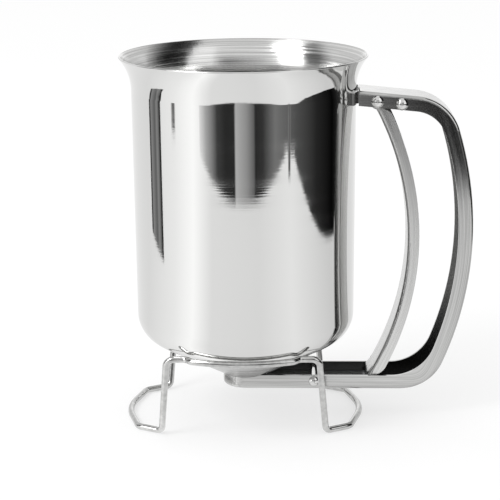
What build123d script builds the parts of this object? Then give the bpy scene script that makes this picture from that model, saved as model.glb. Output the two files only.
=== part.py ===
from build123d import *

import os
from math import asin, atan2, cos, degrees, radians, sin, sqrt, tan

# Pancake batter dispenser on a wire stand, in millimetres.
# The origin is on the table under the cup's axis. +X points to the handle, +Z is up.

# ---- Driving dimensions ----------------------------------------------------------------

# Cup: one spun vessel with a conical bottom
cup_radius = 50.9          # outside, where the flare starts
cup_height = 151.7         # edge of the outlet hole to the rim
cup_wall = 0.8
cup_draft = 0.22           # degrees, the wall narrows downwards
cup_corner = 13.3          # outside radius between wall and cone
cone_slope = 29.5          # degrees
flare_height = 14.8
flare_reach = 5.5
rim_round = 0.35

# Outlet neck, welded into the tip of the cone
outlet_bore = 5.5
outlet_radius = 7.5
outlet_drop = 1.43         # neck below the cone's outer edge

# Handle: one folded channel with a top arm, a bowed grip and a lower arm
arm_clearance = 14.7       # table to the lower arm
channel_width = 21.6
channel_sheet = 1.2
channel_depth = 6.65
channel_edge_round = 1.5   # outside of the fold
top_corner = 22.0
bottom_corner = 21.0
bottom_corner_inside = 20.8  # the sides are deeper round this corner
grip_reach = 104.3         # cup axis to the outermost point of the grip
grip_bow = 159.5           # outside radius of the grip
grip_rise = 4.9            # outermost point above the middle of the two arms
arm_slope = 5.7            # degrees, the top arm falls away from the cup
arm_below_flare = 0.2
arm_gap = 1.4              # cup wall to the end of the top arm

# Bracket that joins the top arm to the cup
bracket_sheet = 1.0
bracket_reach = 16.0       # half width across the feet
bracket_top_gap = 0.1      # foot's top edge below the arm's top
bracket_height = 5.6
bracket_bend = 0.55

# Rivets
rivet_shank = 1.45
rivet_head = 2.75
rivet_dome = 1.5
guide_head = 2.45
pivot_setback = 8.2        # from the end of the top arm
spacer_setback = 19.15
rivet_depth = 4.05         # below the top arm's outer face
guide_setback = 31.9       # from the cup axis
spacer_radius = 2.3

# Trigger: a bowed channel that hangs on the pivot rivet
trigger_sheet = 1.2
trigger_depth = 5.3
trigger_bow = 129.8        # radius of the face towards the cup
trigger_round = 1.4
trigger_foot_corner = 8.0
trigger_shoulder = 7.0
lobe_radius = 3.0
lobe_drop = 0.65           # lobe centre below the pivot
shoulder_drop = 3.3        # shoulder and web top below the pivot
flange_gap = 5.0           # trigger sides above the channel's floor
relief_height = 9.1        # relief slots reach this far above the channel's floor
relief_width = 0.8
tongue_inset = 1.1         # from the inside of the trigger's sides to the tongue
tongue_setback = 3.5       # front of the tongue, from the pivot towards the cup
tongue_bend = 1.6
tongue_bend_height = 5.6
tongue_gap = 0.3           # above the channel's floor
tongue_play = 0.35         # on each side of the tongue in the slide's window
bow_top_back = 0.6         # top of the bow, from the pivot towards the cup
bow_bottom_back = 0.7      # bottom of the bow, from the pivot towards the cup

# Valve slide
slide_sheet = 1.0
slide_lug_height = 4.1
slide_bend = 1.6           # outside radius of the turned-up end
slide_lip_height = 0.8
slide_lug_corner = 2.0

# Return spring on the pivot rivet
spring_wire = 0.8
spring_play = 0.2          # coil's inside beyond the rivet's shank
spring_pitch = 0.95
spring_turns = 7           # whole turns, the last part turn is worked out
spring_leg_lean = 24.0     # degrees from straight down
spring_leg = 7.0
spring_leg_past = 1.6      # fixed leg beyond the spacer

# Wire stand
wire = 3.0
rest_angle = 50.0          # degrees below level, where the wire meets the cup's corner
rest_end_x = 23.0          # end of a rest, then a step back and a jog out to the leg
rest_end_outset = 1.52     # end of a rest outside the circle where the wire meets the cup
jog_step = 2.1
jog_inset = 0.22           # jog inside that circle
rest_bend = 4.0
leg_top_x = 34.3
jog_bend = 3.8
leg_foot_x = 37.6
leg_foot_y = 30.5
leg_bend = 3.0
foot_corner_x = 48.9
foot_corner_y = 24.4
foot_bend = 5.0
foot_reach = 54.2          # cup axis to the far end of a foot loop
foot_bow = 40.8            # radius of a foot loop
stand_shift = -0.75        # the stand is loose and stands a little askew under the cup
stand_turn = 0.9           # degrees

# Fits
same_place = 0.01          # two measures no further apart than this are one
nearly_all = 0.99          # share of a rest that is an arc, its ends are straight
weld_gap = 0.05            # pieces that are welded or riveted to each other
running_gap = 0.05         # hinge pin, slide
side_gap = 0.3             # moving pieces beside fixed ones
guide_gap = 0.15           # guide rivet above the slide
rest_gap = 0.25            # cup above the wire

# ---- Heights, from the table up ----------------------------------------------------------

floor_z = arm_clearance + channel_sheet
slide_z = floor_z + running_gap
slide_top_z = slide_z + slide_sheet
seat_z = slide_top_z + running_gap
cone_edge_z = seat_z + outlet_drop
rim_z = cone_edge_z + cup_height
flare_z = rim_z - flare_height
arm_top_z = flare_z - arm_below_flare
guide_z = slide_top_z + guide_gap + rivet_shank
beyond = 2 * grip_reach    # a cut of this length goes right through any piece

# ---- Widths and radii that follow from the channel and the rivets ----------------------------

channel_inside = channel_width / 2 - channel_sheet
trigger_half = channel_inside - side_gap
trigger_inside = trigger_half - trigger_sheet
tongue_half = trigger_inside - tongue_inset
slide_half = channel_inside - side_gap
spring_radius = rivet_shank + spring_play + spring_wire / 2   # middle of the wire

# ---- Helpers -----------------------------------------------------------------------------


def cone_height(radius):
    """Height of the cone's outer face at this radius."""
    return cone_edge_z + (radius - outlet_radius) * tan(radians(cone_slope))


def cone_meets_wall(inset):
    """Radius and height where cone and wall cross when both are moved in by inset."""
    slope = tan(radians(cone_slope))
    draft = tan(radians(cup_draft))
    cone_lift = inset / cos(radians(cone_slope))
    wall = cup_radius - inset / cos(radians(cup_draft))
    foot = cone_height(0) + cone_lift
    radius = (wall - draft * (flare_z - foot)) / (1 - draft * slope)
    return radius, foot + radius * slope


def corner_centre(start, along, inward, radius, bow_centre, bow_radius):
    """Centre of a corner that leads from a straight edge into the inside of a large arc."""
    offset_start = start + inward * radius - bow_centre
    run = offset_start.dot(along)
    reach = sqrt((bow_radius - radius) ** 2 - offset_start.dot(offset_start) + run**2)
    return bow_centre + offset_start + along * (reach - run)


def bow_tip(half_width, rise, radius):
    """How far outside the middle of a bow its two straight sides would meet."""
    to_centre = Vector(half_width, radius - rise)
    side_slope = asin(radius / to_centre.length) - atan2(to_centre.Y, to_centre.X)
    return radius * (1 / cos(side_slope) - 1)


def side(x, z):
    """A point in the side view, where the sketch's own X and Y are the part's X and Z."""
    return Vector(x, z)


# ---- Side view of the handle -------------------------------------------------------------

arm_start = side(cup_radius + arm_gap, arm_top_z)
arm_along = side(cos(radians(arm_slope)), -sin(radians(arm_slope)))
arm_inward = side(-sin(radians(arm_slope)), -cos(radians(arm_slope)))
grip_centre = side(grip_reach - grip_bow, (arm_clearance + arm_top_z) / 2 + grip_rise)


def arm_point(setback, depth):
    """A point of the top arm: setback level from its end, depth below its outer face."""
    return arm_start + arm_along * (setback / arm_along.X) + arm_inward * depth


pivot = arm_point(pivot_setback, rivet_depth)
spacer_point = arm_point(spacer_setback, rivet_depth)
guide_point = side(guide_setback, guide_z)


def channel_edge(inset, top_radius, bottom_radius):
    """Edge of the channel at this inset, from the top arm's end to above the outlet."""
    bow_radius = grip_bow - inset
    top_start = arm_start + arm_inward * inset
    bottom_start = side(0, arm_clearance + inset)
    level, up = side(1, 0), side(0, 1)
    top = corner_centre(top_start, arm_along, arm_inward, top_radius, grip_centre, bow_radius)
    bottom = corner_centre(bottom_start, level, up, bottom_radius, grip_centre, bow_radius)
    top_arm = Line(top_start, top - arm_inward * top_radius)
    top_bow = grip_centre + (top - grip_centre).normalized() * bow_radius
    bottom_bow = grip_centre + (bottom - grip_centre).normalized() * bow_radius
    upper = TangentArc(top_arm @ 1, top_bow, tangent=top_arm % 1)
    grip = TangentArc(upper @ 1, bottom_bow, tangent=upper % 1)
    lower = TangentArc(grip @ 1, bottom - up * bottom_radius, tangent=grip % 1)
    lower_arm = Line(lower @ 1, bottom_start)
    return top_arm @ 0, lower_arm @ 1


def channel_band(outer_inset, inner_inset, inner_bottom_corner):
    """Closed side outline of the channel between two insets."""
    outer_start, outer_end = channel_edge(
        outer_inset, top_corner - outer_inset, bottom_corner - outer_inset
    )
    inner_start, inner_end = channel_edge(
        inner_inset, top_corner - inner_inset, inner_bottom_corner
    )
    Line(outer_start, inner_start)
    Line(outer_end, inner_end)


def across(point):
    """Plane through this point of the side view whose own X runs along the part's Y."""
    return Plane(origin=(point.X, 0, point.Y), x_dir=(0, 1, 0), z_dir=(1, 0, 0))


def rivet_section(point, head_radius):
    """Half section of a rivet across the handle: shank, and a domed head outside each side."""
    half_grip = channel_width / 2
    with BuildSketch(across(point)) as section:
        with BuildLine():
            dome = TangentArc((half_grip + rivet_dome, 0), (half_grip, head_radius), tangent=(0, 1))
            under_head = Line(dome @ 1, (half_grip, rivet_shank))
            Line(under_head @ 1, (0, rivet_shank))
            mirror(about=Plane.YZ)
            Line((-half_grip - rivet_dome, 0), (half_grip + rivet_dome, 0))
        make_face()
    return section.sketch


# ---- Cup ---------------------------------------------------------------------------------

with BuildPart() as cup:
    with BuildSketch(Plane.XZ):
        with BuildLine():
            wall_line = FilletPolyline(
                (outlet_bore, cone_height(outlet_bore)),
                cone_meets_wall(0),
                (cup_radius, flare_z),
                radius=cup_corner,
            )
            TangentArc(wall_line @ 1, (cup_radius + flare_reach, rim_z), tangent=wall_line % 1)
            offset(amount=cup_wall, side=Side.LEFT)
        make_face()
    revolve(axis=Axis.Z)
    with Locations((0, 0, cone_edge_z)):
        Hole(radius=outlet_radius + weld_gap)
    rim_edges = cup.edges().filter_by(GeomType.CIRCLE).sort_by(Axis.Z)[-2:]
    fillet(rim_edges, radius=rim_round)
cup.part.label = "cup"

# ---- Outlet neck: its top carries on the cone's inner face, its lower face is the valve seat

with BuildPart() as outlet_spout:
    neck_top = cone_edge_z + cup_wall / cos(radians(cone_slope))
    with BuildSketch(Plane.XZ):
        with BuildLine():
            Polyline(
                (outlet_bore, seat_z),
                (outlet_radius, seat_z),
                (outlet_radius, neck_top),
                (outlet_bore, neck_top - (outlet_radius - outlet_bore) * tan(radians(cone_slope))),
                close=True,
            )
        make_face()
    revolve(axis=Axis.Z)
outlet_spout.part.label = "outlet_spout"

# ---- Handle channel: the outside is cut out first, its folds are rounded, then it is hollowed

with BuildLine(Plane.XZ) as outer_path:
    channel_edge(0, top_corner, bottom_corner)


def on_outer_fold(edge):
    """True for the long edges where the channel's back turns into its sides."""
    middle = edge @ 0.5
    level = abs((edge @ 0).Z - arm_clearance) + abs(middle.Z - arm_clearance) < same_place
    on_a_side = abs(abs((edge @ 0).Y) - channel_width / 2) < same_place
    lengthwise = on_a_side and edge.length > channel_width / 2
    in_side_view = outer_path.line.distance_to(Vertex(middle.X, 0, middle.Z)) < same_place
    return lengthwise and (level or in_side_view) and (edge @ 0 - edge @ 1).length > channel_depth


with BuildPart() as handle_channel:
    with BuildSketch(Plane.XZ):
        with BuildLine():
            channel_band(0, channel_depth, bottom_corner_inside)
        make_face()
    extrude(amount=channel_width / 2, both=True)
    with BuildSketch(Plane.XY.offset(arm_clearance)):
        Circle(channel_width / 2)
    extrude(amount=channel_depth)
    fillet(handle_channel.edges().filter_by(on_outer_fold), radius=channel_edge_round)

    with BuildSketch(Plane.XZ):
        with BuildLine():
            channel_band(channel_sheet, 2 * channel_depth, bottom_corner_inside - channel_depth)
        make_face()
    extrude(amount=channel_inside, both=True, mode=Mode.SUBTRACT)
    with BuildSketch(Plane.XY.offset(floor_z)):
        Circle(channel_inside)
    extrude(amount=channel_depth, mode=Mode.SUBTRACT)

    # the end wall is trimmed to the cone that it is welded to
    trim_gap = weld_gap / cos(radians(cone_slope))
    with BuildSketch(Plane.XZ):
        with BuildLine():
            Polyline(
                (0, cone_height(0) - trim_gap),
                (channel_width, cone_height(channel_width) - trim_gap),
                (0, cone_height(channel_width) - trim_gap),
                close=True,
            )
        make_face()
    revolve(axis=Axis.Z, mode=Mode.SUBTRACT)

    with BuildSketch(Plane.XY.offset(arm_clearance)):
        Circle(outlet_bore + side_gap)
    extrude(amount=channel_sheet, mode=Mode.SUBTRACT)
    with BuildSketch(Plane.XZ):
        with Locations(pivot, spacer_point, guide_point):
            Circle(rivet_shank + weld_gap)
    extrude(amount=channel_width, both=True, mode=Mode.SUBTRACT)
handle_channel.part.label = "handle_channel"

# ---- Bracket: a saddle inside the top arm, with two feet on the cup's wall -----------------

foot_inside = cup_radius + weld_gap
foot_outside = foot_inside + bracket_sheet
saddle_half = channel_inside - weld_gap
saddle_end = pivot.X - lobe_radius - side_gap
bracket_top_z = arm_top_z - bracket_top_gap
bracket_foot_z = bracket_top_z - bracket_height
saddle_top_z = arm_point(saddle_end - arm_start.X, channel_sheet).Y - 2 * weld_gap

with BuildPart() as handle_bracket:
    with BuildSketch(Plane.XY.offset(bracket_foot_z)):
        Circle(foot_outside)
        with Locations((foot_outside / 2, 0)):
            Rectangle(foot_outside, 2 * bracket_reach, mode=Mode.INTERSECT)
        with Locations((foot_outside - bracket_sheet, 0)):
            Rectangle(
                saddle_end - foot_outside + bracket_sheet,
                2 * saddle_half,
                align=(Align.MIN, Align.CENTER),
            )
        Circle(foot_inside, mode=Mode.SUBTRACT)
    extrude(amount=bracket_height)
    inside_bends = (
        handle_bracket.edges()
        .filter_by(Axis.Z)
        .filter_by(lambda edge: abs(abs(edge.center().Y) - saddle_half) < same_place)
        .sort_by(Axis.X)[:2]
    )
    fillet(inside_bends, radius=bracket_bend)
    # the saddle's inside, and its top where the channel's back covers it
    with BuildSketch(Plane.XY.offset(bracket_foot_z)):
        Rectangle(beyond, 2 * (saddle_half - bracket_sheet))
    extrude(amount=saddle_top_z - bracket_sheet - bracket_foot_z, mode=Mode.SUBTRACT)
    with BuildSketch(Plane.XY.offset(saddle_top_z)):
        with Locations((foot_outside, 0)):
            Rectangle(beyond, channel_width, align=(Align.MIN, Align.CENTER))
        Rectangle(beyond, 2 * (saddle_half - bracket_sheet))
    extrude(amount=bracket_height, mode=Mode.SUBTRACT)
handle_bracket.part.label = "handle_bracket"

# ---- Rivets and the spacer -----------------------------------------------------------------

with BuildPart() as pivot_rivet:
    revolve(rivet_section(pivot, rivet_head), axis=Axis(across(pivot).origin, (0, 1, 0)))
pivot_rivet.part.label = "pivot_rivet"

with BuildPart() as spacer_rivet:
    revolve(rivet_section(spacer_point, rivet_head), axis=Axis(across(spacer_point).origin, (0, 1, 0)))
spacer_rivet.part.label = "spacer_rivet"

with BuildPart() as guide_rivet:
    revolve(rivet_section(guide_point, guide_head), axis=Axis(across(guide_point).origin, (0, 1, 0)))
guide_rivet.part.label = "guide_rivet"

with BuildPart() as spacer_tube:
    with BuildSketch(Plane.XZ):
        with Locations(spacer_point):
            Circle(spacer_radius)
            Circle(rivet_shank + weld_gap, mode=Mode.SUBTRACT)
    extrude(amount=channel_inside - weld_gap, both=True)
spacer_tube.part.label = "spacer_tube"

# ---- Trigger: its bow runs from under the pivot to the relief slots above the lower arm ------

trigger_back = trigger_bow + trigger_depth
web_top_z = pivot.Y - shoulder_drop
flange_end_z = floor_z + flange_gap
relief_z = floor_z + relief_height
tongue_x = pivot.X - tongue_setback + trigger_sheet / 2

bow_top = side(pivot.X - bow_top_back, web_top_z)
bow_bottom = side(pivot.X - bow_bottom_back, relief_z)
bow_chord = bow_top - bow_bottom
bow_height = sqrt(trigger_bow**2 - (bow_chord.length / 2) ** 2)
bow_centre = (bow_top + bow_bottom) / 2 + side(-bow_chord.Y, bow_chord.X).normalized() * bow_height


def on_bow(radius, z):
    """Point at this height on a circle about the centre of the trigger's bow."""
    return side(bow_centre.X + sqrt(radius**2 - (z - bow_centre.Y) ** 2), z)


def on_trigger_fold(edge):
    """True for the two long edges where the trigger's web turns into its sides."""
    middle = edge @ 0.5
    from_centre = (side(middle.X, middle.Z) - bow_centre).length
    return edge.length > trigger_bow / 2 and abs(from_centre - trigger_bow) < same_place


with BuildPart() as trigger:
    # both sides and the web as one block: bow, foot corner, shoulder, pivot lobe
    with BuildSketch(Plane.XZ) as trigger_side:
        with BuildLine():
            front = ThreePointArc(
                on_bow(trigger_bow, flange_end_z),
                on_bow(trigger_bow, bow_centre.Y),
                on_bow(trigger_bow, web_top_z),
            )
            shoulder = Line(front @ 1, on_bow(trigger_back, web_top_z))
            back = ThreePointArc(
                shoulder @ 1, on_bow(trigger_back, bow_centre.Y), on_bow(trigger_back, flange_end_z)
            )
            Line(back @ 1, front @ 0)
        make_face()
        foot_corner = trigger_side.vertices().group_by(Axis.Y)[0].sort_by(Axis.X)[-1]
        fillet(foot_corner, trigger_foot_corner)
        shoulder_corner = trigger_side.vertices().group_by(Axis.Y)[-1].sort_by(Axis.X)[-1]
        fillet(shoulder_corner, trigger_shoulder)
        with Locations(pivot - side(0, lobe_drop)):
            Circle(lobe_radius)
            Rectangle(
                lobe_radius,
                shoulder_drop - lobe_drop + trigger_sheet,
                align=(Align.MIN, Align.MAX),
            )
    extrude(amount=trigger_half, both=True)
    fillet(trigger.edges().filter_by(on_trigger_fold), trigger_round)

    # hollow behind the web, and open above and below it
    with BuildSketch(Plane.XZ):
        with Locations(bow_centre):
            Circle(trigger_back + trigger_depth)
            Circle(trigger_bow + trigger_sheet, mode=Mode.SUBTRACT)
        with Locations(side(pivot.X, web_top_z)):
            Rectangle(beyond, beyond, align=(Align.CENTER, Align.MIN))
    extrude(amount=trigger_inside, both=True, mode=Mode.SUBTRACT)
    with BuildSketch(Plane.XZ):
        with Locations(side(pivot.X, relief_z)):
            Rectangle(beyond, beyond, align=(Align.CENTER, Align.MAX))
    extrude(amount=tongue_half + relief_width, both=True, mode=Mode.SUBTRACT)

    # the tongue goes on from the web, kicks forward and reaches down into the slide
    with BuildSketch(Plane.XZ):
        with BuildLine():
            FilletPolyline(
                on_bow(trigger_bow + trigger_sheet / 2, relief_z + trigger_sheet),
                on_bow(trigger_bow + trigger_sheet / 2, relief_z - trigger_sheet / 2),
                side(tongue_x, floor_z + tongue_bend_height),
                side(tongue_x, floor_z + tongue_gap),
                radius=tongue_bend,
            )
        trace(line_width=trigger_sheet)
    extrude(amount=tongue_half, both=True)
    with BuildSketch(Plane.XZ):
        with Locations(pivot):
            Circle(rivet_shank + running_gap)
    extrude(amount=trigger_half, both=True, mode=Mode.SUBTRACT)
trigger.part.label = "trigger"

# ---- Valve slide: a plate with a round front, a window for the tongue and a turned-up end ----

window_front_x = tongue_x - trigger_sheet / 2 - tongue_play
window_back_x = tongue_x + trigger_sheet / 2 + tongue_play
slide_middle_z = slide_z + slide_sheet / 2
lug_x = window_back_x + slide_sheet / 2

with BuildPart() as valve_slide:
    with BuildSketch(Plane.XZ):
        with BuildLine():
            FilletPolyline(
                side(0, slide_middle_z),
                side(lug_x, slide_middle_z),
                side(lug_x, slide_z + slide_lug_height),
                radius=slide_bend - slide_sheet / 2,
            )
        trace(line_width=slide_sheet)
    extrude(amount=slide_half, both=True)
    lug_corners = valve_slide.edges().filter_by(Axis.X).group_by(Axis.Z)[-1]
    fillet(lug_corners, slide_lug_corner)
    with BuildSketch(Plane.XY.offset(slide_z)):
        Circle(slide_half)
    extrude(amount=slide_sheet)
    with BuildSketch(Plane.XY.offset(slide_z)):
        with Locations((window_front_x, 0)):
            Rectangle(
                window_back_x - window_front_x,
                2 * (tongue_half + side_gap),
                align=(Align.MIN, Align.CENTER),
            )
    extrude(amount=slide_bend, mode=Mode.SUBTRACT)
    # low lip at the window's front edge, which the tongue pushes to shut the valve
    with BuildSketch(Plane.XY.offset(slide_top_z)):
        with Locations((window_front_x, 0)):
            Rectangle(slide_sheet, 2 * tongue_half, align=(Align.MAX, Align.CENTER))
    extrude(amount=slide_lip_height)
valve_slide.part.label = "valve_slide"

# ---- Return spring: coils round the pivot, one leg under the spacer, one behind the web ------

pivot_to_spacer = spacer_point - pivot
spacer_contact = spacer_radius + spring_wire / 2 + weld_gap
fixed_leg_dip = asin((spacer_contact - spring_radius) / pivot_to_spacer.length) + atan2(
    -pivot_to_spacer.Y, pivot_to_spacer.X
)
last_turn = 270 - spring_leg_lean - degrees(fixed_leg_dip)
coil_height = spring_pitch * (spring_turns + last_turn / 360)

coil_plane = Plane(
    origin=(pivot.X, -coil_height / 2, pivot.Y),
    x_dir=(-sin(fixed_leg_dip), 0, -cos(fixed_leg_dip)),
    z_dir=(0, 1, 0),
)
coil = coil_plane * Helix(spring_pitch, coil_height, spring_radius)
fixed_leg_end = coil @ 0 - coil % 0 * (pivot_to_spacer.length + spring_leg_past)

with BuildPart() as return_spring:
    with BuildLine() as spring_path:
        Line(fixed_leg_end, coil @ 0)
        add(coil)
        Line(coil @ 1, coil @ 1 + coil % 1 * spring_leg)
    with BuildSketch(Plane(origin=fixed_leg_end, z_dir=coil % 0)):
        Circle(spring_wire / 2)
    sweep(path=spring_path.line)
return_spring.part.label = "return_spring"

# ---- Wire stand: one closed wire, the same in all four quarters -------------------------------

corner_r, corner_z = cone_meets_wall(cup_corner)
contact = cup_corner + wire / 2 + rest_gap
rest_reach = corner_r + contact * cos(radians(rest_angle))
rest_z = corner_z - contact * sin(radians(rest_angle))
foot_z = wire / 2
rest_end_y = sqrt((rest_reach + rest_end_outset) ** 2 - rest_end_x**2)
jog_y = sqrt((rest_reach - jog_inset) ** 2 - (rest_end_x + jog_step) ** 2)
rest_rise = rest_reach - rest_end_y
rest_bow = nearly_all * (rest_end_x**2 + rest_rise**2) / (2 * rest_rise)
rest_tip = bow_tip(rest_end_x, rest_rise, rest_bow)
foot_tip = bow_tip(foot_corner_y, foot_reach - foot_corner_x, foot_bow)

quarter = [
    (rest_end_x, -rest_end_y, rest_z, rest_bend),
    (rest_end_x + jog_step, -jog_y, rest_z, rest_bend),
    (leg_top_x, -jog_y, rest_z, jog_bend),
    (leg_foot_x, -leg_foot_y, foot_z, leg_bend),
    (foot_corner_x, -foot_corner_y, foot_z, foot_bend),
]
half = (
    [(0, -rest_reach - rest_tip, rest_z, rest_bow)]
    + quarter
    + [(foot_reach + foot_tip, 0, foot_z, foot_bow)]
    + [(x, -y, z, bend) for x, y, z, bend in reversed(quarter)]
)
stand_route = half + [(-x, -y, z, bend) for x, y, z, bend in half]

with BuildPart() as wire_stand:
    with BuildLine(Plane((stand_shift, 0, 0)).rotated((0, 0, stand_turn))) as stand_line:
        FilletPolyline(
            *[(x, y, z) for x, y, z, bend in stand_route],
            radius=[bend for x, y, z, bend in stand_route],
            close=True,
        )
    stand_start = stand_line.line @ 0
    with BuildSketch(Plane(origin=stand_start, z_dir=stand_line.line % 0)):
        Circle(wire / 2)
    sweep(path=stand_line.line)
wire_stand.part.label = "wire_stand"

# ---- Files ---------------------------------------------------------------------------------

os.makedirs("parts", exist_ok=True)
for piece in (
    cup,
    outlet_spout,
    handle_channel,
    handle_bracket,
    pivot_rivet,
    spacer_rivet,
    guide_rivet,
    spacer_tube,
    trigger,
    valve_slide,
    return_spring,
    wire_stand,
):
    export_step(piece.part, f"parts/{piece.part.label}.step")
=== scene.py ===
from math import cos, radians, sin

import bpy
from mathutils import Matrix, Vector


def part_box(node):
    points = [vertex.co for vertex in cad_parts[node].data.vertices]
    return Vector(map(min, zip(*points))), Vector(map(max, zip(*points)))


# Pancake batter dispenser of stainless steel on a wire stand. Metres, +X to the handle, +Z up.

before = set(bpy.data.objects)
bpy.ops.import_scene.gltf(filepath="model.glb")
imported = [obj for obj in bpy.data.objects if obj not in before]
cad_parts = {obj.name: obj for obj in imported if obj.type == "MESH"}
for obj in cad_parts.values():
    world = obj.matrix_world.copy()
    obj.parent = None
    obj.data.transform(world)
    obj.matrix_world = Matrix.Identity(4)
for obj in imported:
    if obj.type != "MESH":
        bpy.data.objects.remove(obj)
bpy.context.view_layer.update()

MM = 0.001

# ---- Places taken from the frame ---------------------------------------------------------

cup_low, cup_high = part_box("cup")
handle_low, handle_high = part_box("handle_channel")
trigger_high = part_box("trigger")[1]

cone_height = 18 * MM
cone_top_z = cup_low.z + cone_height
plan_only = (1, 1, 0)               # times a place: the way to it from the cup's axis

handle_middle_z = (handle_low.z + handle_high.z) / 2
grip_bow = 159.5 * MM               # outside radius of the grip
grip_rise = 4.9 * MM                # the bow's centre lies above the handle's middle
grip_centre = Vector((handle_high.x - grip_bow, 0, handle_middle_z + grip_rise))
inside_loop = Vector(((cup_high.x + handle_high.x) / 2, 0, grip_centre.z))

trigger_bow = 129.8 * MM            # radius of the trigger's face
trigger_sides = 5.3 * MM            # they stand this far behind the face
trigger_middle_z = 87 * MM
trigger_centre = Vector((trigger_high.x - trigger_sides - trigger_bow, 0, trigger_middle_z))
behind_trigger = Vector((3 * trigger_high.x, 0, trigger_centre.z))

arm_above = 65 * MM                 # from a bow's centre up to the top arm
arm_below = 75 * MM                 # and down to the lower arm
corner_blend = 8 * MM               # the belt lines turn a corner over this length
sheet = 1.19 * MM                   # the 1.2 mm sheet, less a hair to keep off its own face
trough_z = 22 * MM                  # the lower arm's trough, where the painted shade inside the fold is darkest
trough_end_z = 55 * MM              # the painted shade inside the fold is lightest from here up

# ---- Helpers -----------------------------------------------------------------------------


def linear(hex_code):
    """The linear colour of an sRGB hex code such as D8D8D6."""
    shares = [int(hex_code[i : i + 2], 16) / 255 for i in (0, 2, 4)]
    return [s / 12.92 if s <= 0.04045 else ((s + 0.055) / 1.055) ** 2.4 for s in shares] + [1]


def add(tree, kind, inputs=(), **properties):
    """Adds a node. Its inputs go by name or in order, and each is a value, a socket or a node."""
    node = tree.nodes.new("ShaderNode" + kind)
    for name, value in properties.items():
        setattr(node, name, value)
    sockets = [socket for socket in node.inputs if socket.enabled]
    if isinstance(inputs, dict):
        named = {socket.name: socket for socket in sockets}
        sockets = [named[name] for name in inputs]
        inputs = inputs.values()
    for socket, value in zip(sockets, inputs):
        if isinstance(value, bpy.types.Node):
            value = next(output for output in value.outputs if output.enabled)
        if isinstance(value, bpy.types.NodeSocket):
            tree.links.new(value, socket)
        else:
            socket.default_value = value
    return node


def new_material(name):
    """A material of this name whose tree is still empty."""
    material = bpy.data.materials.new(name)
    material.use_nodes = True
    material.node_tree.nodes.clear()
    return material


def grain(tree, place, sizes, detail):
    """Noise from 0 to 1 whose marks have these sizes in millimetres along the three axes."""
    per_metre = [1 / (size * MM) for size in sizes]
    stretched = add(tree, "Mapping", {"Vector": place, "Scale": per_metre})
    return add(tree, "TexNoise", {"Vector": stretched, "Scale": 1.0, "Detail": detail})


def worked(tree, marks, low, high):
    """A number or a shade that goes from low to high with noise, mostly of 0.3 to 0.7."""
    noise = {"Value": marks, "From Min": 0.3, "From Max": 0.7}
    if isinstance(low, str):
        share = add(tree, "MapRange", noise)
        return add(tree, "Mix", [share, linear(low), linear(high)], data_type="RGBA")
    return add(tree, "MapRange", noise | {"To Min": low, "To Max": high})


def steel(material, colour, roughness, lines, line_depth, anisotropy=0.0):
    """Stainless steel: bright metal whose fine lines from its making tilt the reflections."""
    tree = material.node_tree
    relief = add(tree, "Bump", {"Height": lines, "Distance": line_depth, "Strength": 1.0})
    metal = {
        "Base Color": colour,
        "Metallic": 1.0,
        "Roughness": roughness,
        "Normal": relief,
        "Anisotropic": anisotropy,
        "Anisotropic Rotation": 0.25,
    }
    add(tree, "OutputMaterial", {"Surface": add(tree, "BsdfPrincipled", metal)})
    return material


# ---- Finishes ----------------------------------------------------------------------------


def spun_steel():
    """304 stainless, spun and buffed: a mirror outside, streaked satin where no wheel reaches."""
    mirror_tone = linear("DEDEDD")
    # painted shade: the dark grey that darkens the cone at the cup's bottom
    cone_shade_tone = linear("5C5C5B")
    mirror_depth = 0.007 * MM
    satin_depth = 0.06 * MM
    broad_share = 0.35              # of the broad lines in the relief
    cone_shade_share = 0.4                # of the painted shade's dark grey in the cone's colour
    material = new_material("stainless_304_spun_and_buffed")
    tree = material.node_tree
    place = add(tree, "TexCoord").outputs["Object"]
    # buffing lines run round the cup; real ones are 0.1 mm apart, drawn 0.67 mm to show
    fine = grain(tree, place, (71.43, 71.43, 0.66667), 3.0)
    broad = grain(tree, place, (111.1, 111.1, 3.846), 2.0)
    lines = add(tree, "Mix", [broad_share, fine, broad])
    # a face inside the cup looks at its axis
    normal = add(tree, "NewGeometry").outputs["True Normal"]
    outward = add(tree, "VectorMath", [place, plan_only], operation="MULTIPLY")
    facing = add(tree, "VectorMath", [normal, outward], operation="DOT_PRODUCT")
    inside = add(tree, "Math", [facing, 0.0], operation="LESS_THAN")
    height = add(tree, "SeparateXYZ", [place]).outputs["Z"]
    under = add(tree, "Math", [height, cone_top_z], operation="LESS_THAN")
    satin = add(tree, "Math", [inside, under], operation="MAXIMUM")
    mirror_rough = worked(tree, broad, 0.03, 0.065)
    satin_rough = worked(tree, fine, 0.13, 0.27)
    rough = add(tree, "Mix", [satin, mirror_rough, satin_rough])
    depth = add(tree, "Mix", [satin, mirror_depth, satin_depth])
    lines = add(tree, "Math", [lines, depth], operation="MULTIPLY")
    streaked = worked(tree, fine, "B4B4B3", "EEEEED")
    # painted shade: the cone at the cup's bottom is darkened towards a dark grey
    painted_cone_shade = add(tree, "Math", [under, cone_shade_share], operation="MULTIPLY")
    streaked = add(tree, "Mix", [painted_cone_shade, streaked, cone_shade_tone], data_type="RGBA")
    colour = add(tree, "Mix", [satin, mirror_tone, streaked], data_type="RGBA")
    return steel(material, colour, rough, lines, line_depth=1.0, anisotropy=0.5)


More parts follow.
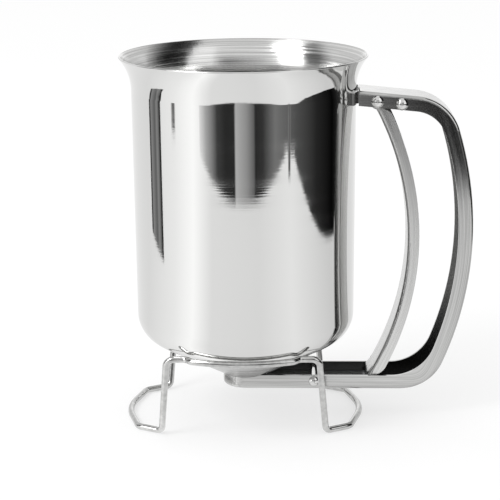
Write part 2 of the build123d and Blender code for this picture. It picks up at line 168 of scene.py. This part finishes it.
def linished_steel(name, centre, bow, half_width, fold_faces, tones, fold_line_shade, satin):
    """304 sheet, folded, then linished along its length: satin with long fine streaks.

    Inside the fold, where no belt reaches, it is rougher and its colour is darkened with painted
    shade; a line of painted shade of a given strength can run along the fold.
    """
    # the third tone is the painted shade inside the fold
    streak_tone, tone, inside_shade_tone = tones
    # painted shade: the darkest tone, in the lower arm's trough
    trough_shade_tone = linear("5A5A59")
    # painted shade: the dark line along the fold
    fold_line_shade_tone = linear("30302F")
    inside_rough = 0.25
    relief_share = 0.4              # of the broad lines in the relief
    streak_share = 0.25             # and in the colour
    material = new_material(name)
    tree = material.node_tree
    place = add(tree, "TexCoord").outputs["Object"]
    # depth under the strip's outline, a bow between two arms, so that lines follow the strip
    from_centre = add(tree, "VectorMath", [place, centre], operation="SUBTRACT")
    axes = add(tree, "SeparateXYZ", [from_centre]).outputs
    flat = add(tree, "CombineXYZ", [axes["X"], 0.0, axes["Z"]])
    radius = add(tree, "VectorMath", [flat], operation="LENGTH")
    depth = add(tree, "Math", [bow, radius], operation="SUBTRACT")
    down = add(tree, "Math", [axes["Z"], -1.0, arm_above], operation="MULTIPLY_ADD")
    up = add(tree, "Math", [axes["Z"], arm_below], operation="ADD")
    for arm in (down, up):
        depth = add(tree, "Math", [depth, arm, corner_blend], operation="SMOOTH_MIN")
    length = add(tree, "Math", [axes["X"], axes["Z"]], operation="SUBTRACT")
    along_strip = add(tree, "CombineXYZ", [length, axes["Y"], depth])
    # belt lines run along the sheet; real ones are 0.1 mm apart, drawn 0.48 mm to show
    fine = grain(tree, along_strip, (40, 0.47619, 0.47619), 3.0)
    broad = grain(tree, along_strip, (83.33, 2.381, 2.381), 2.0)
    lines = add(tree, "Mix", [relief_share, fine, broad])
    # a face inside the fold looks at one point and lies between the strip's sides
    normals = add(tree, "NewGeometry").outputs
    outward = add(tree, "VectorMath", [place, fold_faces], operation="SUBTRACT")
    facing = add(tree, "VectorMath", [normals["True Normal"], outward], operation="DOT_PRODUCT")
    inside = add(tree, "Math", [facing, 0.0], operation="LESS_THAN")
    side = add(tree, "Math", [axes["Y"]], operation="ABSOLUTE")
    between = add(tree, "Math", [side, half_width - sheet], operation="LESS_THAN")
    inside = add(tree, "Math", [inside, between], operation="MULTIPLY")
    belt_rough = worked(tree, broad, 0.8 * satin, 1.3 * satin)
    rough = add(tree, "Mix", [inside, belt_rough, inside_rough])
    streak = add(tree, "Mix", [streak_share, fine, broad])
    tone_and_shade = worked(tree, streak, streak_tone, tone)
    # painted shade: the inside is darkest in the lower arm's trough
    height = add(tree, "SeparateXYZ", [place]).outputs["Z"]
    rise = {"Value": height, "From Min": trough_z, "From Max": trough_end_z}
    risen = add(tree, "MapRange", rise)
    painted_inside_shade = add(tree, "Mix", [risen, trough_shade_tone, linear(inside_shade_tone)], data_type="RGBA")
    tone_and_shade = add(tree, "Mix", [inside, tone_and_shade, painted_inside_shade], data_type="RGBA")
    # painted shade: along the fold, where the normal leans to one side, a dark line is painted
    across = add(tree, "SeparateXYZ", [normals["Normal"]]).outputs["Y"]
    across = add(tree, "Math", [across, across], operation="MULTIPLY")
    along = add(tree, "Math", [1.0, across], operation="SUBTRACT")
    lean = add(tree, "Math", [across, along], operation="MULTIPLY")
    line = {"Value": lean, "From Min": 0.03, "From Max": 0.15, "To Max": fold_line_shade}
    tone_and_shade = [add(tree, "MapRange", line), tone_and_shade, fold_line_shade_tone]
    tone_and_shade = add(tree, "Mix", tone_and_shade, data_type="RGBA")
    return steel(material, tone_and_shade, rough, lines, 0.022 * MM)


def plain_steel(name, sizes, detail, tones, roughness, depth):
    """Stainless steel on which one even pattern of marks sets shade, gloss and relief."""
    material = new_material(name)
    tree = material.node_tree
    place = add(tree, "TexCoord").outputs["Object"]
    marks = grain(tree, place, sizes, detail)
    shade = worked(tree, marks, *tones)
    return steel(material, shade, worked(tree, marks, *roughness), marks, depth)


handle_steel = linished_steel(
    "stainless_304_channel_linished",
    centre=grip_centre,
    bow=grip_bow,
    half_width=handle_high.y,
    fold_faces=inside_loop,
    # belt streaks, belt tone and the painted shade inside the fold
    tones=("A6A6A5", "D2D2D1", "BEBEBD"),
    # strength of the painted dark line along the fold
    fold_line_shade=0.0,
    satin=0.12,
)
trigger_steel = linished_steel(
    "stainless_304_trigger_linished",
    centre=trigger_centre,
    bow=trigger_bow,
    half_width=trigger_high.y,
    fold_faces=behind_trigger,
    # belt streaks, belt tone and the painted shade inside the fold
    tones=("C2C2C1", "E4E4E3", "8C8C8B"),
    # strength of the painted dark line along the fold
    fold_line_shade=0.55,
    satin=0.27,
)
# polished 304 sheet, pressed: a dark mirror with faint waves 6 mm long
bracket_steel = plain_steel(
    "stainless_304_pressed_and_polished",
    sizes=(6.25, 6.25, 6.25),
    detail=2.0,
    tones=("ACACAB", "BABAB9"),
    roughness=(0.06, 0.11),
    depth=0.02 * MM,
)
# cold-headed rivets, tumbled bright: mirror domes with faint dents 1 mm wide
rivet_steel = plain_steel(
    "stainless_rivet_headed_and_tumbled",
    sizes=(1.111, 1.111, 1.111),
    detail=2.0,
    tones=("D2D2D1", "E0E0DF"),
    roughness=(0.07, 0.14),
    depth=0.015 * MM,
)
# turned on a lathe: dulled a little by the tool's rings, 0.3 mm apart, round its own axis
turned = {
    "detail": 1.0,
    "tones": ("B8B8B7", "CECECD"),
    "roughness": (0.22, 0.32),
    "depth": 0.04 * MM,
}
neck_steel = plain_steel("stainless_303_turned_neck", (33.33, 33.33, 0.30303), **turned)
spacer_steel = plain_steel("stainless_303_turned_spacer", (33.33, 0.30303, 33.33), **turned)
# cold-rolled 2B sheet, blanked and left as it comes: even, dull and cool; the marks of the
# rolls are finer than they are drawn, 0.67 mm wide to show
slide_steel = plain_steel(
    "stainless_2b_mill_sheet",
    sizes=(3.333, 0.66667, 0.66667),
    detail=3.0,
    tones=("B2B3B4", "C8C9CA"),
    roughness=(0.26, 0.36),
    depth=0.02 * MM,
)
# hard-drawn 302 spring wire, baked after coiling: grey with a straw tint, uneven over 1.4 mm
spring_steel = plain_steel(
    "stainless_302_spring_wire_drawn",
    sizes=(1.4286, 1.4286, 1.4286),
    detail=2.0,
    tones=("9C9688", "B4AEA0"),
    roughness=(0.24, 0.36),
    depth=0.02 * MM,
)
# bright-drawn 304 wire, bent, welded and electropolished: a soft mirror with 2.4 mm ripples
stand_steel = plain_steel(
    "stainless_304_wire_electropolished",
    sizes=(2.381, 2.381, 2.381),
    detail=3.0,
    tones=("B6B6B5", "CECECD"),
    roughness=(0.08, 0.14),
    depth=0.012 * MM,
)

finishes = {
    "cup": spun_steel(),
    "outlet_spout": neck_steel,
    "handle_channel": handle_steel,
    "handle_bracket": bracket_steel,
    "pivot_rivet": rivet_steel,
    "spacer_rivet": rivet_steel,
    "guide_rivet": rivet_steel,
    "spacer_tube": spacer_steel,
    "trigger": trigger_steel,
    "valve_slide": slide_steel,
    "return_spring": spring_steel,
    "wire_stand": stand_steel,
}
for node, material in finishes.items():
    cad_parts[node].material_slots[0].material = material

# ---- Studio ------------------------------------------------------------------------------

ambient_light = 1.0
mirrored_light = 0.86
steel_reflects = 0.73               # share of light that the polished cup gives back
table_reach = 9                     # metres from the cup to the table's sides
table_glow = 0.6                    # how much of the table's white doesn't depend on its light
table_lane_glow = 0.3               # and how much more where the steel mirrors its painted lanes


def tones_round(tree, stops):
    """A grey by the direction seen from the cup's axis, as (degrees, grey) stops.

    0 degrees is the front (-Y), 90 the handle's side. A grey is what polished steel shows.
    """
    place = add(tree, "TexCoord").outputs["Object"]
    axes = add(tree, "SeparateXYZ", [place]).outputs
    front = add(tree, "Math", [axes["Y"], -1.0], operation="MULTIPLY")
    turn = add(tree, "Math", [axes["X"], front], operation="ARCTAN2")
    first, last = stops[0][0], stops[-1][0]
    way = {"Value": turn, "From Min": radians(first), "From Max": radians(last)}
    ramp = add(tree, "ValToRGB", [add(tree, "MapRange", way)])
    for at, grey in stops[1:-1]:
        ramp.color_ramp.elements.new((at - first) / (last - first))
    for element, (at, grey) in zip(ramp.color_ramp.elements, stops):
        shown = linear(f"{grey:02X}" * 3)[0] / steel_reflects
        element.color = (shown, shown, shown, 1)
    return ramp


def panel(name, material, corners, faces):
    """Panels that only show in reflections, so that they neither hide nor shade anything."""
    mesh = bpy.data.meshes.new(name)
    mesh.from_pydata(corners, [], faces)
    mesh.materials.append(material)
    made = bpy.data.objects.new(name, mesh)
    made.visible_camera = made.visible_diffuse = made.visible_shadow = False
    made.visible_transmission = made.visible_volume_scatter = False
    bpy.context.scene.collection.objects.link(made)
    return made


def make_world():
    """Even white light, at full white where it is seen."""
    world = bpy.data.worlds.new("white_studio")
    world.use_nodes = True
    tree = world.node_tree
    tree.nodes.clear()
    rays = add(tree, "LightPath").outputs
    mirrored = add(tree, "Math", [rays["Is Glossy Ray"], mirrored_light], operation="MULTIPLY")
    lit = add(tree, "Math", [rays["Is Diffuse Ray"], ambient_light], operation="MULTIPLY")
    strength = rays["Is Camera Ray"]
    for ray in (mirrored, rays["Is Transmission Ray"], lit):
        strength = add(tree, "Math", [strength, ray], operation="MAXIMUM")
    light = add(tree, "Background", {"Color": linear("FFFFFF"), "Strength": strength})
    add(tree, "OutputWorld", {"Surface": light})
    bpy.context.scene.world = world


def make_table(tones):
    """A pale table that keeps a soft shadow; for mirror rays only it glows with painted lanes that
    stand in for the lamps' bright lanes in the steel.
    """
    material = new_material("studio_table")
    tree = material.node_tree
    rays = add(tree, "LightPath").outputs
    mirrored = rays["Is Glossy Ray"]
    # painted reflection: greys round the cup that only mirror rays see
    painted_lanes = tones_round(tree, tones)
    seen = add(tree, "Mix", [mirrored, linear("FFFFFF"), painted_lanes], data_type="RGBA")
    clear = add(tree, "Math", [rays["Is Camera Ray"], rays["Is Transmission Ray"]], operation="ADD")
    clear = add(tree, "Math", [clear, mirrored], operation="ADD", use_clamp=True)
    share = add(tree, "Math", [clear, table_glow], operation="MULTIPLY")
    share = add(tree, "Math", [mirrored, table_lane_glow, share], operation="MULTIPLY_ADD")
    paint = add(tree, "BsdfDiffuse", {"Color": linear("F8F8F8")})
    glow = add(tree, "Emission", {"Color": seen, "Strength": 1.0})
    add(tree, "OutputMaterial", {"Surface": add(tree, "MixShader", [share, paint, glow])})
    near, far = -table_reach, table_reach
    corners = [(near, near, 0), (far, near, 0), (far, far, 0), (near, far, 0)]
    table = panel("studio_floor", material, corners, [(0, 1, 2, 3)])
    table.visible_camera = table.visible_diffuse = table.visible_shadow = True


def fence(name, plan, bottom, top, stops, strength=1.0):
    """An upright panel of glowing cloth on a line of plan points, with greys round the cup."""
    material = new_material(name)
    tree = material.node_tree
    glow = add(tree, "Emission", {"Color": tones_round(tree, stops), "Strength": strength})
    add(tree, "OutputMaterial", {"Surface": glow})
    low = [(x, y, bottom) for x, y in plan]
    high = [(x, y, top) for x, y in plan]
    faces = [(i, i + 1, len(plan) + i + 1, len(plan) + i) for i in range(len(plan) - 1)]
    panel(name, material, low + high, faces)


def arc(radius, start, end, steps=24):
    """Plan points on a circle round the cup from one direction to another, in degrees."""
    turns = [radians(start + (end - start) * i / steps) for i in range(steps + 1)]
    return [(radius * sin(turn), -radius * cos(turn)) for turn in turns]


def make_key_light():
    """A square soft lamp, high on the left, that points at the cup's middle."""
    data = bpy.data.lights.new("key_light", "AREA")
    data.size = 0.6
    data.energy = 8
    lamp = bpy.data.objects.new("key_light", data)
    lamp.location = (-0.97, -0.654, 1.15)
    towards_cup = Vector((0, 0, cup_high.z / 2)) - lamp.location
    lamp.rotation_euler = towards_cup.to_track_quat("-Z", "Y").to_euler()
    bpy.context.scene.collection.objects.link(lamp)


make_world()
make_table(
    [
        (-180, 220), (-110, 210), (-70, 230), (-49, 250), (-30, 215), (15, 210), (47, 225),
        (95, 195), (180, 220),
    ]
)
make_key_light()

# the dark room beyond the table's front edge and, past its corner, beyond its right edge
fence(
    "room_front_and_right",
    [
        (-0.46, -0.515), (0.478, -0.505), (0.534, -0.417), (0.517, -0.373), (0.480, -0.258),
        (0.443, -0.166), (0.410, -0.078), (0.392, 0), (0.387, 0.063), (0.385, 0.112),
    ],
    0,
    0.16,
    [
        (-42, 220), (-35, 160), (-24, 60), (-16, 40), (-7.2, 40), (-6, 170), (4, 140), (11.5, 90),
        (12.6, 40), (20, 50), (32, 110), (54, 75), (76, 35), (97, 5), (106, 30),
    ],
)
# a thin post in front of the table's corner
fence("corner_post", arc(0.6, 45.2, 47.6, 2), 0, 0.16, [(45, 140), (46.4, 70), (48, 140)])
# tall dark curtain to the right, seen inside the cup
fence(
    "curtain_right",
    arc(0.40, 68, 130),
    0.16,
    0.95,
    [(68, 120), (73, 30), (100, 12), (110, 60), (121, 140), (130, 180)],
)
# grey screen to the left, seen inside the cup
fence(
    "screen_left",
    arc(0.60, -108, -68),
    0.16,
    0.84,
    [(-108, 200), (-101, 165), (-92, 100), (-82, 75), (-71, 75), (-68, 120)],
)
# framed board standing on the table to the left
fence(
    "board_left",
    [(-0.395, 0.095), (-0.335, -0.03)],
    0,
    0.16,
    [
        (-104, 40), (-102, 40), (-100.5, 130), (-94, 90), (-91, 130), (-88, 95), (-87, 40),
        (-84, 40),
    ],
)
# a thin post before the board
fence(
    "post_left",
    arc(0.78, -74, -69, 4),
    0,
    0.10,
    [(-74, 190), (-72, 90), (-70.5, 90), (-69, 190)],
)
# bright panels to the right and, under the key light, to the left, seen inside the cup
fence("panel_right", arc(1.2, 35, 67), 0.2, 1.6, [(35, 242), (67, 242)])
fence("panel_under_key", arc(1.5, -80, -38), 0.2, 2.6, [(-80, 252), (-38, 252)], 1.9)
# grey screen in front, seen inside the cup between the two
fence(
    "screen_front",
    arc(1.0, -30, 32),
    0.22,
    0.62,
    [(-30, 205), (-16, 175), (5, 145), (21, 120), (27, 150), (32, 200)],
)
# grey panel high behind, seen inside the cup, and a bright wall behind, seen in the handle's top
fence("panel_high_back", arc(0.9, 140, 220), 0.72, 1.15, [(-180, 165), (180, 165)])
fence(
    "wall_back",
    arc(1.2, 130, 230),
    0,
    0.5,
    [(-180, 240), (-172, 240), (-160, 205), (130, 190), (158, 200), (174, 240), (180, 240)],
)

# ---- Camera ------------------------------------------------------------------------------

camera_place = Vector((26.085, -706.812, 267.647)) * MM
camera_pitch = -0.2608              # radians; below the horizon is negative
camera_yaw = -0.0334
camera_roll = -0.0086
picture_width = 500                 # in pixels, as are the next two
focal_length = 1574.05
half_pixel = 0.5


def make_camera():
    """A long lens, slightly above the rim, that looks a little down."""
    data = bpy.data.cameras.new("camera")
    data.sensor_width = 36
    data.sensor_fit = "HORIZONTAL"
    data.lens = data.sensor_width * focal_length / picture_width
    data.shift_x = -half_pixel / picture_width
    data.shift_y = half_pixel / picture_width
    level = Vector((sin(camera_yaw), cos(camera_yaw), 0))
    forward = level * cos(camera_pitch) + Vector((0, 0, sin(camera_pitch)))
    right = forward.cross(Vector((0, 0, 1))).normalized()
    up = right.cross(forward)
    rolled_right = right * cos(camera_roll) + up * sin(camera_roll)
    rolled_up = up * cos(camera_roll) - right * sin(camera_roll)
    turn = Matrix((rolled_right, rolled_up, -forward)).transposed()
    camera = bpy.data.objects.new("camera", data)
    camera.matrix_world = Matrix.Translation(camera_place) @ turn.to_4x4()
    bpy.context.scene.collection.objects.link(camera)
    bpy.context.scene.camera = camera


make_camera()
bpy.context.scene.view_settings.view_transform = "Standard"
